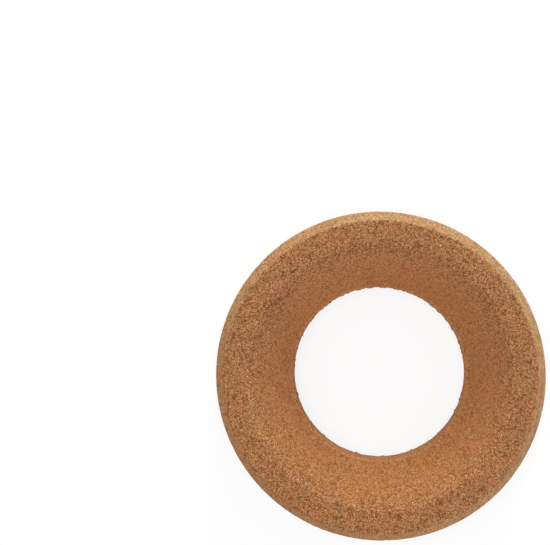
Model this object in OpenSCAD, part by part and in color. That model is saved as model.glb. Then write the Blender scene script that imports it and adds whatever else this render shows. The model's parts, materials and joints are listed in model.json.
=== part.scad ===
// Cork ring: the bench stand for a round-bottom flask, turned as one piece from
// agglomerated cork. The flask sits in the conical seat and its belly hangs into
// the straight hole below. The origin is the centre of the bottom face, with +Z
// up along the ring's axis.

/* [Ring] */
// Outside diameter of the ring
ring_d = 110; // [92:1:200]
// Height of the ring
ring_h = 30; // [20:0.5:60]
// Diameter of the straight hole below the seat
hole_d = 60; // [25:1:80]

/* [Seat] */
// Width of the flat rim between the seat and the outer bevel
rim_w = 7.8; // [3:0.1:18]
// Depth of the conical seat below the rim
seat_depth = 17; // [6:0.5:27]

/* [Edges] */
// Width of the outer bevel, measured across the rim
bevel_w = 3.4; // [1.5:0.1:12]
// Height of the outer bevel
bevel_h = 7.5; // [2:0.5:27]
// Radius of every edge, as worn by handling
edge_r = 0.5; // [0.1:0.1:1]

/* [Hidden] */
// Steps in the arc of each rounded edge
edge_steps = 4;
// Facets in a full turn
turn_facets = 180;
ring_r = ring_d / 2;
hole_r = hole_d / 2;
// Radius where the seat meets the flat rim
mouth_r = ring_r - bevel_w - rim_w;
// Height where the straight hole meets the seat
hole_h = ring_h - seat_depth;
// Height where the outer side meets the bevel
side_h = ring_h - bevel_h;
// Sharp corners of the ring's section, as radius and height, round from the hole
corners = [
    [hole_r, 0],
    [ring_r, 0],
    [ring_r, side_h],
    [ring_r - bevel_w, ring_h],
    [mouth_r, ring_h],
    [hole_r, hole_h],
];

// Vector of length 1 along a vector
function unit(vector) = vector / norm(vector);

// Points of the arc that rounds a corner, from the side before it to the side after
function edge_arc(before, corner, after) =
    let (
        back = unit(before - corner),
        ahead = unit(after - corner),
        half_angle = acos(back * ahead) / 2,
        reach = edge_r / tan(half_angle),
        centre = corner + unit(back + ahead) * edge_r / sin(half_angle),
        start = corner + back * reach - centre,
        end = corner + ahead * reach - centre
    )
    [for (i = [0 : edge_steps]) centre + edge_r * unit(start + (end - start) * i / edge_steps)];

// The whole ring, as its rounded section turned about the axis
module cork_ring() {
    count = len(corners);
    section = [
        for (i = [0 : count - 1])
            each edge_arc(corners[(i + count - 1) % count], corners[i], corners[(i + 1) % count])
    ];
    color("peru")
        rotate_extrude($fn = turn_facets)
            polygon(section);
}

cork_ring();
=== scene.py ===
import json
import math
import bmesh
import bpy
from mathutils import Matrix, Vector, noise


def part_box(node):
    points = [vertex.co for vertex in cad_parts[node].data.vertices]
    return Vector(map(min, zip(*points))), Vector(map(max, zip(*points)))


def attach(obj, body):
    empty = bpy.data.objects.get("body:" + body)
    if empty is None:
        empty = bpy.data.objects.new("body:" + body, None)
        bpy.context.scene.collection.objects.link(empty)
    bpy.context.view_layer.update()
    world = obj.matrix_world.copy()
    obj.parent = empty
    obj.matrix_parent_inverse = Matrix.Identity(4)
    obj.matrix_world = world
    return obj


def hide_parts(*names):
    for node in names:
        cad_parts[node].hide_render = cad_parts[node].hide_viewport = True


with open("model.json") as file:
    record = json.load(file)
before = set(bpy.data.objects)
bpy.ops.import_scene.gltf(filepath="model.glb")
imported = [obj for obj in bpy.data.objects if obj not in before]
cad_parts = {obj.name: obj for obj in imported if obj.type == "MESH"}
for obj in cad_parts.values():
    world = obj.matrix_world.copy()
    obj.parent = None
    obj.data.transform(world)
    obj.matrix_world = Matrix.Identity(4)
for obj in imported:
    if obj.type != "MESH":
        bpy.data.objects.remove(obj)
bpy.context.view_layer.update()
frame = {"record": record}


# The ring: a rounded section spun about Z, then roughened granule by granule

ringShape = {
    "rimWidth": 0.0078,  # flat rim between the seat and the bevel
    "seatDepth": 0.017,  # how far the conical seat goes down
    "bevelWidth": 0.0034,
    "bevelHeight": 0.0075,
    "edgeWear": 0.0005,  # how far each edge of the section is rounded back
    "edgeSegments": 3,
    "mouthWear": 0.0014,  # and the edge between rim and seat, where flasks rub
    "mouthSegments": 8,
    "seatDrift": (0.0002, 0.0003),  # the seat was turned a little off-centre
    "turnSteps": 720,
    "weldDistance": 0.000001,
    "unrollMargin": 0.006,  # share of the unrolled skin left clear at each border
}
# spacing of the mesh along each side of the section, finest where it shows most
ringGrid = {
    "bottom": 0.0018,
    "outerSide": 0.0016,
    "bevel": 0.0006,
    "rim": 0.00034,
    "seat": 0.00054,
    "bore": 0.00075,
}
low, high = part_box("cork_ring")
ringHeight = high.z - low.z
ringRadius = min(high.x, high.y, -low.x, -low.y)
holeMount = next(m for m in frame["record"]["mounts"] if m["name"] == "hole")
holeRadius = holeMount["dims"]["r_mm"] / 1000
bevelTop = ringRadius - ringShape["bevelWidth"]
mouthRadius = bevelTop - ringShape["rimWidth"]
seatBottom = ringHeight - ringShape["seatDepth"]
bevelBottom = ringHeight - ringShape["bevelHeight"]


def sectionSides():
    # the sides in order round the section: each one's name and two ends, as radius and height
    corners = [
        (holeRadius, 0.0),
        (ringRadius, 0.0),
        (ringRadius, bevelBottom),
        (bevelTop, ringHeight),
        (mouthRadius, ringHeight),
        (holeRadius, seatBottom),
    ]
    ends = corners[1:] + corners[:1]
    return {name: (Vector(a), Vector(b)) for name, a, b in zip(ringGrid, corners, ends)}


def onSection(place):
    # where this place lies on the section, and the same to a micrometre, as a key to what is known there
    point = Vector((math.hypot(place.x, place.y), place.z))
    return point, (round(point.x, 6), round(point.y, 6))


def shareAlong(point, side):
    a, b = side
    along = b - a
    return min(max((point - a).dot(along) / along.length_squared, 0.0), 1.0)


def distanceToSide(point, side):
    a, b = side
    return (point - a - (b - a) * shareAlong(point, side)).length


def nearestSide(point, sides):
    return min(sides, key=lambda name: distanceToSide(point, sides[name]))


def spinSection(bm, sides):
    outline = {name: bm.verts.new((side[0].x, 0.0, side[0].y)) for name, side in sides.items()}
    bm.faces.new(list(outline.values()))
    mouth = outline.pop("seat")
    for corners, wear, segments in (
        ([mouth], ringShape["mouthWear"], ringShape["mouthSegments"]),
        (list(outline.values()), ringShape["edgeWear"], ringShape["edgeSegments"]),
    ):
        bmesh.ops.bevel(
            bm,
            geom=corners,
            offset=wear,
            offset_type="OFFSET",
            segments=segments,
            profile=0.5,
            affect="VERTICES",
            material=-1,
        )
    for edge in list(bm.edges):
        length = edge.calc_length()
        middle = (edge.verts[0].co + edge.verts[1].co) / 2
        spacing = ringGrid[nearestSide(Vector((middle.x, middle.z)), sides)]
        if length > 2 * spacing:
            bmesh.ops.subdivide_edges(bm, edges=[edge], cuts=round(length / spacing) - 1)
    bmesh.ops.delete(bm, geom=list(bm.faces), context="FACES_ONLY")
    bmesh.ops.spin(
        bm,
        geom=list(bm.verts) + list(bm.edges),
        cent=(0, 0, 0),
        axis=(0, 0, 1),
        angle=math.tau,
        steps=ringShape["turnSteps"],
        use_merge=True,
    )
    bmesh.ops.remove_doubles(bm, verts=list(bm.verts), dist=ringShape["weldDistance"])
    bmesh.ops.recalc_face_normals(bm, faces=list(bm.faces))


def unrollRing(bm, sides):
    # lays the skin of the ring out flat: round the ring across, round the section upwards, in two halves
    layer = bm.loops.layers.uv.new("OFBake")
    lengths = {name: (b - a).length for name, (a, b) in sides.items()}
    perimeter = sum(lengths.values())
    starts, total = {}, 0.0
    for name, length in lengths.items():
        starts[name] = total
        total += length
    margin = ringShape["unrollMargin"]
    known = {}

    def unroll(place):
        point, key = onSection(place)
        if key not in known:
            name = nearestSide(point, sides)
            known[key] = (starts[name] + lengths[name] * shareAlong(point, sides[name])) / perimeter
        return math.atan2(place.y, place.x) / math.tau, known[key]

    for face in bm.faces:
        middleTurn, middleUp = unroll(face.calc_center_median())
        half = 1 if middleTurn < 0 else 0
        for loop in face.loops:
            turn, up = unroll(loop.vert.co)
            turn -= round(turn - middleTurn)
            up -= round(up - middleUp)
            across = (turn + 0.5 * half) * 2
            upwards = (margin + up * (1 - 2 * margin) + half) / 2
            loop[layer].uv = (margin + across * (1 - 2 * margin), upwards)


# How rough the tools left each side: the rim is sawn, the seat and bore are turned, the rest is sanded.
# Proud is how far a face stands out of the section, into the seat or the hole.

finish = {
    "bottom": {"torn": 0.5, "pale": 0.3, "proud": 0.0, "freshAndPaintedLight": 0.0, "chips": 0.1},
    "outerSide": {"torn": 0.5, "pale": 0.8, "proud": 0.0, "freshAndPaintedLight": 0.35, "chips": 0.2},
    "bevel": {"torn": 0.85, "pale": 1.0, "proud": 0.0, "freshAndPaintedLight": 0.38, "chips": 0.9},
    "rim": {"torn": 1.0, "pale": 0.1, "proud": 0.0, "freshAndPaintedLight": 0.0, "chips": 0.9},
    "seat": {"torn": 0.22, "pale": 0.0, "proud": 0.00005, "freshAndPaintedLight": 0.0, "chips": 0.2},
    # on the wall of the hole, fresh is painted light standing in for light bounced off the floor
    "bore": {"torn": 0.6, "pale": 0.45, "proud": 0.00034, "freshAndPaintedLight": 0.88, "chips": 0.0},
}
ringMasks = ("torn", "pale", "pit", "freshAndPaintedLight")  # what the mesh tells the cork material, point by point
roughness = {
    "finishBlend": 0.0002,  # how far the finish of one side runs into the next
    "granule": 0.0011,  # size of the cork granules that stand out
    "granuleSeed": 37.0,  # another number picks other granules
    "granuleSlope": 2.0,  # how steeply a granule rises from its border
    "relief": 0.00005,  # how far one granule stands above the next
    "reliefSize": 0.6,  # size of the granules in that relief, as a share of the others
    "reliefShift": 0.1,  # how far off that relief is taken from, so that the two sets differ
    "reliefSmooth": 0.3,  # share of it that a smooth face keeps
    "pitShare": 0.2,  # share of granules torn out of a fully torn face
    "pitDepth": 0.00024,
    "pitWall": (0.05, 0.5),  # how far inside a granule its pit starts, and is at its deepest
    "patchSize": 0.004,  # of the patches with more pits and chips, or fewer
    "seatTorn": 0.0026,  # how far, at most, the torn rim runs on into the seat
    "seatTornSize": 0.006,  # size of the waves in that border
    "tornSide": 172.0,  # further on this side of the ring
    "tornSideGain": 0.6,  # how much further it is there, and less far on the other side
    "ragged": 0.35,  # and how much more torn than the rim it is there
    "seatFade": 0.005,  # how slowly the torn look dies out below that
    "seatPale": 0.1,  # how pale the seat is just under the rim
    "seatPaintedLight": 0.3,  # and how much painted light lifts the shade there
    "rubbedSide": 75.0,  # the seat is rubbed smoother towards this angle round the ring
    "rubbed": 0.8,  # how much smoother it is there, and rougher on the other side
    "sheenAndDustSide": 40.0,  # the bevel is paler towards this angle: partly sanding dust, partly painted sheen on the side the lamps light
    "sheenAndDust": 0.4,  # how much paler it is there, and less pale on the other side
    "wander": 0.00006,  # slow unevenness of the turned faces
    "wanderSize": 0.012,
    "wanderTorn": 0.7,  # how much of it is missing from a torn face
    "crumbShare": 0.1,  # share of granules that stand out of the wall of the hole
    "crumb": 0.00027,
    "crumbWall": (0.0, 0.6),  # how far inside a granule its crumb starts, and is at its highest
    "crumbEdge": (0.3, 0.9),  # share of the bore's finish at which crumbs start, and are full
}


def smoothStep(value, span):
    start, end = span
    share = min(max((value - start) / (end - start), 0.0), 1.0)
    return share * share * (3 - 2 * share)


def faceFinish(point, sides):
    # blends the finish of the sides near this point of the section
    weights = {
        name: math.exp(-distanceToSide(point, side) / roughness["finishBlend"])
        for name, side in sides.items()
    }
    total = sum(weights.values())
    look = {
        kind: sum(finish[name][kind] * w for name, w in weights.items()) / total
        for kind in finish["rim"]
    }
    nearest = nearestSide(point, sides)
    look["down"] = ringHeight - point.y if nearest == "seat" else math.inf
    # the drift of the seat grows across the rim, and is gone again at the bottom of the seat
    drifts = {"rim": shareAlong(point, sides["rim"]), "seat": 1 - shareAlong(point, sides["seat"])}
    look["drift"] = drifts.get(nearest, 0.0)
    look["seat"] = weights["seat"] / total
    second, first = sorted(weights.values())[-2:]
    look["edge"] = second / first
    look["wall"] = smoothStep(weights["bore"] / total, roughness["crumbEdge"])
    return look


def granuleAt(place, size):
    # random number of the granule here, and how far inside its border this is, from 0 to about 1
    spots, centres = noise.voronoi(place / size)
    number = noise.cell(centres[0] * roughness["granuleSeed"]) % 1.0
    return number, min((spots[1] - spots[0]) * roughness["granuleSlope"], 1.0)


def slowNoise(place, size):
    return 0.5 + 0.5 * noise.noise(place / size)


def roughenRing(bm, sides):
    torn, pale, pit, freshAndPaintedLight = [bm.verts.layers.float.new(name) for name in ringMasks]
    bm.normal_update()
    rubbedTurn = math.radians(roughness["rubbedSide"])
    tornTurn = math.radians(roughness["tornSide"])
    sheenAndDustTurn = math.radians(roughness["sheenAndDustSide"])
    drift = Vector((*ringShape["seatDrift"], 0))
    reliefShift = Vector((roughness["reliefShift"], 0, 0))
    reliefSize = roughness["granule"] * roughness["reliefSize"]
    moves = []
    known = {}
    for vert in bm.verts:
        place = vert.co
        point, key = onSection(place)
        if key not in known:
            known[key] = faceFinish(point, sides)
        look = known[key]
        turn = math.atan2(place.y, place.x)
        rubbing = roughness["rubbed"] * math.cos(turn - rubbedTurn) * look["seat"]
        tear = look["torn"] * (1 - rubbing)
        start = roughness["seatTorn"] * slowNoise(place, roughness["seatTornSize"])
        start *= 1 + roughness["tornSideGain"] * math.cos(turn - tornTurn)
        fade = math.exp(-max(look["down"] - start, 0.0) / roughness["seatFade"])
        tear += (1 - tear) * fade
        tear += roughness["ragged"] * max(math.cos(turn - tornTurn), 0.0) * fade**2 * look["seat"]
        pull, inside = granuleAt(place, roughness["granule"])
        level, _ = granuleAt(place + reliefShift, reliefSize)
        patchy = slowNoise(place, roughness["patchSize"])
        share = roughness["pitShare"] * tear * (0.5 + patchy) + look["chips"] * look["edge"] * patchy
        isPit = smoothStep(inside, roughness["pitWall"]) if pull < share else 0.0
        isCrumb = smoothStep(inside, roughness["crumbWall"]) if pull > 1 - roughness["crumbShare"] else 0.0
        depth = roughness["pitDepth"] * isPit * (0.5 + 0.5 * level)
        depth += roughness["relief"] * level * (roughness["reliefSmooth"] + tear)
        wander = roughness["wander"] * slowNoise(place, roughness["wanderSize"])
        depth += wander * (1 - roughness["wanderTorn"] * tear)
        depth -= look["proud"] + roughness["crumb"] * isCrumb * look["wall"]
        vert[torn], vert[pit] = tear, isPit
        # paler towards one side of the ring: partly sanding dust, partly painted sheen where the lamps
        # light the bevel
        sheenAndDustGain = 1 + roughness["sheenAndDust"] * math.cos(turn - sheenAndDustTurn)
        vert[pale] = look["pale"] * sheenAndDustGain + roughness["seatPale"] * fade
        # fresh lightens the colour: freshly cut cork on the bevel and outer side, painted light on the wall
        # of the hole and on the seat just under the rim
        vert[freshAndPaintedLight] = look["freshAndPaintedLight"] + roughness["seatPaintedLight"] * fade
        moves.append(look["drift"] * drift - depth * vert.normal)
    for vert, move in zip(bm.verts, moves):
        vert.co += move
        vert.co.z = max(vert.co.z, low.z)


def addObject(name, bm):
    mesh = bpy.data.meshes.new(name)
    bm.to_mesh(mesh)
    bm.free()
    made = bpy.data.objects.new(name, mesh)
    bpy.context.collection.objects.link(made)
    return made


def makeRing():
    sides = sectionSides()
    bm = bmesh.new()
    spinSection(bm, sides)
    unrollRing(bm, sides)
    roughenRing(bm, sides)
    ring = addObject("corkRingSurface", bm)
    for face in ring.data.polygons:
        face.use_smooth = True
    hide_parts("cork_ring")
    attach(ring, "root")
    print("stage: ring made,", len(ring.data.polygons) * 2, "triangles")
    return ring


# Short ways to add shader nodes, each with its settings and what feeds its inputs

def newMaterial(name):
    material = bpy.data.materials.new(name)
    material.use_nodes = True
    return material, material.node_tree, material.node_tree.nodes["Principled BSDF"]


def setSocket(tree, socket, value):
    if isinstance(value, bpy.types.NodeSocket):
        tree.links.new(value, socket)
    else:
        socket.default_value = value


def addNode(tree, kind, inputs=None, **settings):
    node = tree.nodes.new(kind)
    for name, value in settings.items():
        setattr(node, name, value)
    for name, value in (inputs or {}).items():
        setSocket(tree, node.inputs[name], value)
    return node


def addNoise(tree, place, perMetre, detail=1.0, rough=0.5, twist=0.0):
    inputs = {"Vector": place, "Scale": perMetre, "Detail": detail, "Roughness": rough, "Distortion": twist}
    return addNode(tree, "ShaderNodeTexNoise", inputs)


def maths(tree, operation, a, b=None, clamp=False):
    node = addNode(tree, "ShaderNodeMath", {0: a}, operation=operation, use_clamp=clamp)
    if b is not None:
        setSocket(tree, node.inputs[1], b)
    return node.outputs[0]


def vectorMaths(tree, operation, inputs):
    return addNode(tree, "ShaderNodeVectorMath", inputs, operation=operation)


def remap(tree, value, span, ends=(0.0, 1.0), smooth=False, clamp=True):
    # goes from the first end to the second while the value crosses its span
    node = addNode(
        tree,
        "ShaderNodeMapRange",
        {"Value": value, "From Min": span[0], "From Max": span[1], "To Min": ends[0], "To Max": ends[1]},
        interpolation_type="SMOOTHSTEP" if smooth else "LINEAR",
        clamp=clamp,
    )
    return node.outputs["Result"]


def between(tree, mask, ends, clamp=True):
    return remap(tree, mask, (0.0, 1.0), ends, clamp=clamp)


def blendColour(tree, factor, a, b):
    node = addNode(tree, "ShaderNodeMix", data_type="RGBA", blend_type="MIX")
    for index, value in ((0, factor), (6, a), (7, b)):
        setSocket(tree, node.inputs[index], value)
    return node.outputs[2]


# Cork material

corkLook = {
    "darkest": (0.13, 0.028, 0.003, 1),
    "lightest": (0.68, 0.4, 0.235, 1),
    "tones": {  # and the colours between those two, by how light they are
        0.12: (0.198, 0.052, 0.0068, 1),
        0.48: (0.368, 0.15, 0.0465, 1),
        0.9: (0.57, 0.3, 0.155, 1),
    },
    # painted shade inside the holes and the pits in the mesh; in the cracks it stands for the dark binder
    # between granules
    "pit": (0.14, 0.034, 0.004, 1),
    "shallowPit": (0.2, 0.05, 0.006, 1),  # on a smooth face: the same painted shade, fainter
    # painted highlight for the raised lips round the holes
    "lip": (0.66, 0.4, 0.24, 1),
    # pale colour of sanding dust; on the lit side of the bevel it is also painted sheen
    "dustAndSheen": (0.43, 0.42, 0.225, 1),
    "coarse": {"Granules per metre": 720.0, "Warp": 0.0016, "Seam Width": 0.1},
    "fine": {"Granules per metre": 2500.0, "Warp": 0.0004, "Seam Width": 0.12},
    "perMetre": {  # how fine each of the other patterns is
        "grit": 3700.0,
        "holes": 2300.0,
        "cracks": 1300.0,
        "curls": 850.0,
        "curlPlaces": 700.0,
        "clusters": 420.0,
        "patches": 230.0,
    },
    "gritRough": 0.6,
    "noiseSpan": (0.3, 0.7),  # values between which most of a noise lies
    "tone": {  # how far each pattern can darken or lighten the cork
        "fine": (-0.18, 0.18),
        "grit": (-0.27, 0.27),
        "busy": (0.45, 1.55),  # how much of those two a calm and a busy coarse granule shows
        "coarse": (-0.08, 0.04),
        "clusters": (-0.15, 0.15),  # on the sanded faces
        "contrast": (0.48, 0.8),  # how much of all that a smooth and a torn face shows
    },
    "hues": {  # slow patches of another hue: the noise between which they set in, and their strength
        "reddish": {"colour": (0.46, 0.15, 0.062, 1), "span": (0.48, 0.68), "share": 0.36},
        "olive": {"colour": (0.36, 0.17, 0.05, 1), "span": (0.5, 0.7), "share": 0.2},
    },
    "flecks": {  # coarse granules of dark bark
        "colour": (0.15, 0.04, 0.012, 1),
        "picked": (0.95, 0.96),  # granules with a higher number than this are flecks
        "gritSpan": (0.35, 0.55),
        "gritShare": (0.25, 0.75),
        "tornSpan": (0.2, 1.0),
        "tornShare": (0.25, 1.0),
    },
    "holes": {
        "rarer": (0.07, 0.0),  # how much rarer a smooth and a torn face has them
        "busy": (-0.035, 0.015),  # how much more open a calm and a busy coarse granule is
        "holeTwist": 0.5,
        "holeSpan": (0.6, 0.64),
        "crackSpan": (0.48, 0.56),
        "curlTwist": 0.4,
        "curlPlaceSpan": (0.5, 0.56),
        "curlSpan": (0.045, 0.02),  # half the width of a curved crack, outside and inside
        "curlDepth": 0.6,
        "curlLipSpan": (0.12, 0.07),
        "curlLipShare": 0.5,
        "lipSpan": (0.4, 0.34),
        "lipShare": 0.42,
    },
    "holeShare": 0.72,  # how far the holes and cracks go towards the colour of a pit: painted shade in the holes, dark binder in the cracks
    "pitShare": (0.1, 0.36),  # and the pits in the mesh, on a smooth and a torn face, also as painted shade
    "dustAndSheenShare": 0.16,  # of sanding dust, and painted sheen, on the palest faces
    "freshAndPaintedLightGain": 1.5,  # how much lighter the fresh mask makes the cork: freshly cut cork on the bevel and outer side, painted light on the wall of the hole and on the seat just under the rim
    "relief": {"hole": -0.8, "seam": -0.4, "lip": 0.6, "granule": 0.3, "grit": 0.6},
    "reliefTorn": (0.4, 1.0),  # how much of that relief a smooth and a torn face shows
    "reliefHeight": 0.00024,
    "sheenSpan": (0.2, 0.8),  # the lighter granules are a little less rough than the darker ones
    "sheen": (0.06, -0.06),
    "roughTorn": (0.7, 0.9),
    "specular": 0.1,
}


def granuleGroup():
    # granules of one size: random numbers for the tone, tint and pick of each, and the seams between them
    group = bpy.data.node_groups.new("corkGranules", "ShaderNodeTree")
    group.interface.new_socket("Vector", in_out="INPUT", socket_type="NodeSocketVector")
    for name, value in (("Granules per metre", 1000.0), ("Warp", 0.0003), ("Seam Width", 0.12)):
        socket = group.interface.new_socket(name, in_out="INPUT", socket_type="NodeSocketFloat")
        socket.default_value = value
    for name in ("Tone", "Tint", "Pick", "Seam"):
        group.interface.new_socket(name, in_out="OUTPUT", socket_type="NodeSocketFloat")
    inside = group.nodes.new("NodeGroupInput")
    outside = group.nodes.new("NodeGroupOutput")
    place, density = inside.outputs["Vector"], inside.outputs["Granules per metre"]
    wobble = addNoise(group, place, density, detail=2.0)
    centred = vectorMaths(group, "SUBTRACT", {0: wobble.outputs["Color"], 1: (0.5, 0.5, 0.5)})
    offset = vectorMaths(group, "SCALE", {0: centred.outputs[0], "Scale": inside.outputs["Warp"]})
    warped = vectorMaths(group, "ADD", {0: place, 1: offset.outputs[0]})
    grid = {"Vector": warped.outputs[0], "Scale": density}
    cells = addNode(group, "ShaderNodeTexVoronoi", grid)
    borders = addNode(group, "ShaderNodeTexVoronoi", grid, feature="DISTANCE_TO_EDGE")
    split = addNode(group, "ShaderNodeSeparateColor", {"Color": cells.outputs["Color"]})
    width = inside.outputs["Seam Width"]
    seam = remap(group, borders.outputs["Distance"], (0.0, width), (1.0, 0.0), smooth=True)
    for name, value in zip(("Tone", "Tint", "Pick", "Seam"), (*split.outputs[:3], seam)):
        group.links.new(value, outside.inputs[name])
    return group


def corkTone(tree, coords, torn, pale, coarse, fine, grit):
    # how light this spot is; some coarse granules are busier than others
    look, noiseSpan = corkLook["tone"], corkLook["noiseSpan"]
    fineTone = between(tree, fine.outputs["Tone"], look["fine"])
    tone = maths(tree, "ADD", fineTone, remap(tree, grit, noiseSpan, look["grit"]))
    tone = maths(tree, "MULTIPLY", tone, between(tree, coarse.outputs["Tint"], look["busy"]))
    tone = maths(tree, "ADD", tone, between(tree, coarse.outputs["Tone"], look["coarse"]))
    clusters = addNoise(tree, coords, corkLook["perMetre"]["clusters"], detail=2.0).outputs["Fac"]
    uneven = maths(tree, "MULTIPLY", remap(tree, clusters, noiseSpan, look["clusters"]), pale)
    tone = maths(tree, "ADD", tone, uneven)
    contrast = between(tree, torn, look["contrast"], clamp=False)
    return maths(tree, "ADD", maths(tree, "MULTIPLY", tone, contrast), 0.5, clamp=True)


def corkHoles(tree, coords, torn, coarse):
    # the holes and cracks between granules, and the raised lips round the holes; the holes get painted
    # shade and the lips a painted highlight
    look, perMetre = corkLook["holes"], corkLook["perMetre"]
    # they are rarer, not fainter, where the face is smooth
    rarer = between(tree, torn, look["rarer"], clamp=False)
    holes = addNoise(tree, coords, perMetre["holes"], twist=look["holeTwist"]).outputs["Fac"]
    openness = maths(tree, "ADD", holes, between(tree, coarse.outputs["Tint"], look["busy"]))
    hole = remap(tree, maths(tree, "SUBTRACT", openness, rarer), look["holeSpan"], smooth=True)
    cracking = addNoise(tree, coords, perMetre["cracks"]).outputs["Fac"]
    cracked = remap(tree, maths(tree, "SUBTRACT", cracking, rarer), look["crackSpan"], smooth=True)
    gap = maths(tree, "MULTIPLY", coarse.outputs["Seam"], cracked)
    # short curved cracks, where a slow noise crosses its middle
    curls = addNoise(tree, coords, perMetre["curls"], twist=look["curlTwist"]).outputs["Fac"]
    offCurl = maths(tree, "ABSOLUTE", maths(tree, "SUBTRACT", curls, 0.5))
    curlPlaces = addNoise(tree, coords, perMetre["curlPlaces"]).outputs["Color"]
    curling = addNode(tree, "ShaderNodeSeparateColor", {"Color": curlPlaces}).outputs[1]
    curled = remap(tree, maths(tree, "SUBTRACT", curling, rarer), look["curlPlaceSpan"], smooth=True)
    curl = maths(tree, "MULTIPLY", remap(tree, offCurl, look["curlSpan"], smooth=True), curled)
    gap = maths(tree, "MAXIMUM", gap, maths(tree, "MULTIPLY", curl, look["curlDepth"]))
    holeMask = maths(tree, "MAXIMUM", hole, gap)
    curlLip = maths(tree, "MULTIPLY", remap(tree, offCurl, look["curlLipSpan"], smooth=True), curled)
    raised = remap(tree, maths(tree, "ADD", holes, rarer), look["lipSpan"], smooth=True)
    lip = maths(tree, "MAXIMUM", raised, maths(tree, "MULTIPLY", curlLip, look["curlLipShare"]))
    lip = maths(tree, "MULTIPLY", lip, look["lipShare"])
    return holeMask, maths(tree, "MULTIPLY", lip, maths(tree, "SUBTRACT", 1.0, holeMask))


def makeCork():
    material, tree, shader = newMaterial("cork")
    coords = tree.nodes.new("ShaderNodeTexCoord").outputs["Object"]
    torn, pale, pit, freshAndPaintedLight = [
        addNode(tree, "ShaderNodeAttribute", attribute_name=name).outputs["Fac"] for name in ringMasks
    ]
    group = granuleGroup()
    coarse, fine = [
        addNode(tree, "ShaderNodeGroup", {"Vector": coords, **corkLook[size]}, node_tree=group)
        for size in ("coarse", "fine")
    ]
    perMetre = corkLook["perMetre"]
    grit = addNoise(tree, coords, perMetre["grit"], rough=corkLook["gritRough"]).outputs["Fac"]
    # colour
    tone = corkTone(tree, coords, torn, pale, coarse, fine, grit)
    ramp = addNode(tree, "ShaderNodeValToRGB", {"Fac": tone})
    ramp.color_ramp.elements[0].color = corkLook["darkest"]
    ramp.color_ramp.elements[1].color = corkLook["lightest"]
    for position, shade in corkLook["tones"].items():
        ramp.color_ramp.elements.new(position).color = shade
    colour = ramp.outputs["Color"]
    patches = addNoise(tree, coords, perMetre["patches"], detail=2.0).outputs["Color"]
    patches = addNode(tree, "ShaderNodeSeparateColor", {"Color": patches}).outputs
    for patch, hue in zip(patches, corkLook["hues"].values()):
        share = remap(tree, patch, hue["span"], (0.0, hue["share"]))
        colour = blendColour(tree, share, colour, hue["colour"])
    flecks = corkLook["flecks"]
    fleck = remap(tree, coarse.outputs["Pick"], flecks["picked"])
    fleck = maths(tree, "MULTIPLY", fleck, remap(tree, grit, flecks["gritSpan"], flecks["gritShare"]))
    fleck = maths(tree, "MULTIPLY", fleck, remap(tree, torn, flecks["tornSpan"], flecks["tornShare"]))
    colour = blendColour(tree, fleck, colour, flecks["colour"])
    holeMask, lip = corkHoles(tree, coords, torn, coarse)
    pitMask = maths(tree, "MULTIPLY", pit, between(tree, torn, corkLook["pitShare"]))
    # the holes and mesh pits are darkened with painted shade, the cracks with the dark binder between
    # granules
    darkness = maths(tree, "MAXIMUM", maths(tree, "MULTIPLY", holeMask, corkLook["holeShare"]), pitMask)
    inside = blendColour(tree, torn, corkLook["shallowPit"], corkLook["pit"])
    colour = blendColour(tree, darkness, colour, inside)
    # painted highlight on the raised lips, as if they caught the light
    colour = blendColour(tree, lip, colour, corkLook["lip"])
    # sanding dust, with painted sheen on the lit side of the bevel, lies on the granules and leaves the
    # holes brown
    dustAndSheenMix = maths(tree, "MULTIPLY", pale, between(tree, darkness, (corkLook["dustAndSheenShare"], 0.0)))
    colour = blendColour(tree, dustAndSheenMix, colour, corkLook["dustAndSheen"])
    # lighter where fresh: freshly cut cork on the bevel and outer side, painted light on the wall of the
    # hole and on the seat just under the rim
    gain = between(tree, freshAndPaintedLight, (1.0, corkLook["freshAndPaintedLightGain"]))
    colour = vectorMaths(tree, "SCALE", {0: colour, "Scale": gain}).outputs[0]
    tree.links.new(colour, shader.inputs["Base Color"])
    # relief
    relief = corkLook["relief"]
    height = maths(tree, "MULTIPLY", holeMask, relief["hole"])
    for mask, amount in (
        (coarse.outputs["Seam"], relief["seam"]),
        (lip, relief["lip"]),
        (fine.outputs["Tone"], relief["granule"]),
        (grit, relief["grit"]),
    ):
        height = maths(tree, "ADD", height, maths(tree, "MULTIPLY", mask, amount))
    height = maths(tree, "MULTIPLY", height, between(tree, torn, corkLook["reliefTorn"]))
    bump = addNode(tree, "ShaderNodeBump", {"Height": height, "Distance": corkLook["reliefHeight"]})
    tree.links.new(bump.outputs["Normal"], shader.inputs["Normal"])
    # roughness
    sheen = remap(tree, tone, corkLook["sheenSpan"], corkLook["sheen"])
    rough = maths(tree, "ADD", sheen, between(tree, torn, corkLook["roughTorn"]))
    tree.links.new(rough, shader.inputs["Roughness"])
    shader.inputs["Specular IOR Level"].default_value = corkLook["specular"]
    print("stage: cork material made")
    return material


# Studio

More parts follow.
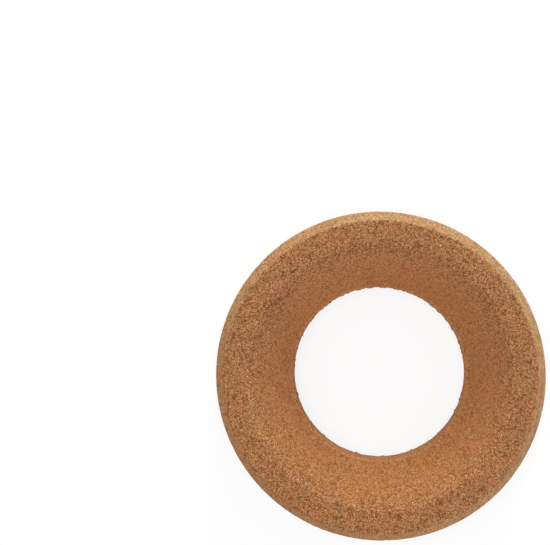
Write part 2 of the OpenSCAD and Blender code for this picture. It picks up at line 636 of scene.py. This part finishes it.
studio = {
    "floorSize": 3.0,
    "floorGap": 0.00002,  # between the floor and the bottom of the ring
    "floorColour": (0.84, 0.84, 0.84, 1),
    "floorRoughness": 0.9,
    "floorGlow": 0.78,  # share of the floor that is plain white to the camera, round the ring
    "glowFade": (0.1, 0.6),  # distances between which that share rises to all of it
    "white": (1, 1, 1, 1),
    "worldStrength": 0.582,
    "worldColour": (1.0, 0.955, 0.955, 1),
    "lamps": {
        "key": {
            "azimuth": 81,
            "elevation": 17,
            "distance": 0.9,
            "size": 0.4,
            "power": 6.4,
            "colour": (0.96, 1.06, 1.02),
        },
        "fill": {
            "azimuth": 320,
            "elevation": 12,
            "distance": 0.9,
            "size": 0.4,
            "power": 2.23,
            "colour": (0.91, 1.0, 1.14),
        },
        "top": {
            "azimuth": 180,
            "elevation": 86,
            "distance": 0.9,
            "size": 0.5,
            "power": 4.56,
            "colour": (0.97, 1.0, 1.01),
        },
    },
}
cameraPlace = {
    "place": (-0.0018, 0.0268, 0.4212),
    "turn": (1.11, 4.745, 0.0),
    "lens": 77.66,
    "nearest": 0.01,  # nothing nearer than this is shown
}


def seenDirectly(tree):
    # 1 where the camera, a mirror or glass shows the background, and 0 where it only lights the ring
    path = tree.nodes.new("ShaderNodeLightPath")
    seen = maths(tree, "ADD", path.outputs["Is Camera Ray"], path.outputs["Is Glossy Ray"])
    return maths(tree, "ADD", seen, path.outputs["Is Transmission Ray"], clamp=True)


def makeFloor():
    bm = bmesh.new()
    bmesh.ops.create_grid(bm, x_segments=1, y_segments=1, size=studio["floorSize"] / 2)
    bmesh.ops.translate(bm, verts=list(bm.verts), vec=(0, 0, low.z - studio["floorGap"]))
    floor = addObject("floor", bm)
    material, tree, shader = newMaterial("floorPaper")
    shader.inputs["Base Color"].default_value = studio["floorColour"]
    shader.inputs["Roughness"].default_value = studio["floorRoughness"]
    glow = addNode(tree, "ShaderNodeEmission", {"Color": studio["white"], "Strength": 1.0})
    place = tree.nodes.new("ShaderNodeTexCoord").outputs["Object"]
    away = vectorMaths(tree, "LENGTH", {0: place}).outputs["Value"]
    white = remap(tree, away, studio["glowFade"], (studio["floorGlow"], 1.0), smooth=True)
    share = maths(tree, "MULTIPLY", seenDirectly(tree), white)
    mix = addNode(tree, "ShaderNodeMixShader", {0: share, 1: shader.outputs[0], 2: glow.outputs[0]})
    tree.links.new(mix.outputs[0], tree.nodes["Material Output"].inputs["Surface"])
    floor.data.materials.append(material)


def makeWorld():
    world = bpy.data.worlds.new("studio")
    world.use_nodes = True
    tree = world.node_tree
    light = tree.nodes["Background"]
    light.inputs["Strength"].default_value = studio["worldStrength"]
    light.inputs["Color"].default_value = studio["worldColour"]
    backdrop = addNode(tree, "ShaderNodeBackground", {"Color": studio["white"], "Strength": 1.0})
    seen = seenDirectly(tree)
    mix = addNode(tree, "ShaderNodeMixShader", {0: seen, 1: light.outputs[0], 2: backdrop.outputs[0]})
    tree.links.new(mix.outputs[0], tree.nodes["World Output"].inputs["Surface"])
    bpy.context.scene.world = world


def makeLamps():
    for name, lamp in studio["lamps"].items():
        data = bpy.data.lights.new(name, "AREA")
        data.energy = lamp["power"]
        data.color = lamp["colour"]
        data.shape = "DISK"
        data.size = lamp["size"]
        light = bpy.data.objects.new(name, data)
        turn, rise = math.radians(lamp["azimuth"]), math.radians(lamp["elevation"])
        away = Vector((math.cos(turn) * math.cos(rise), math.sin(turn) * math.cos(rise), math.sin(rise)))
        light.location = lamp["distance"] * away
        light.rotation_euler = away.to_track_quat("Z", "Y").to_euler()
        bpy.context.collection.objects.link(light)


def makeCamera():
    data = bpy.data.cameras.new("camera")
    data.lens = cameraPlace["lens"]
    data.clip_start = cameraPlace["nearest"]
    camera = bpy.data.objects.new("camera", data)
    camera.location = cameraPlace["place"]
    camera.rotation_euler = [math.radians(v) for v in cameraPlace["turn"]]
    bpy.context.collection.objects.link(camera)
    bpy.context.scene.camera = camera


ring = makeRing()
ring.data.materials.append(makeCork())
makeFloor()
makeWorld()
makeLamps()
makeCamera()
bpy.context.scene.view_settings.view_transform = "Standard"
print("stage: studio made")
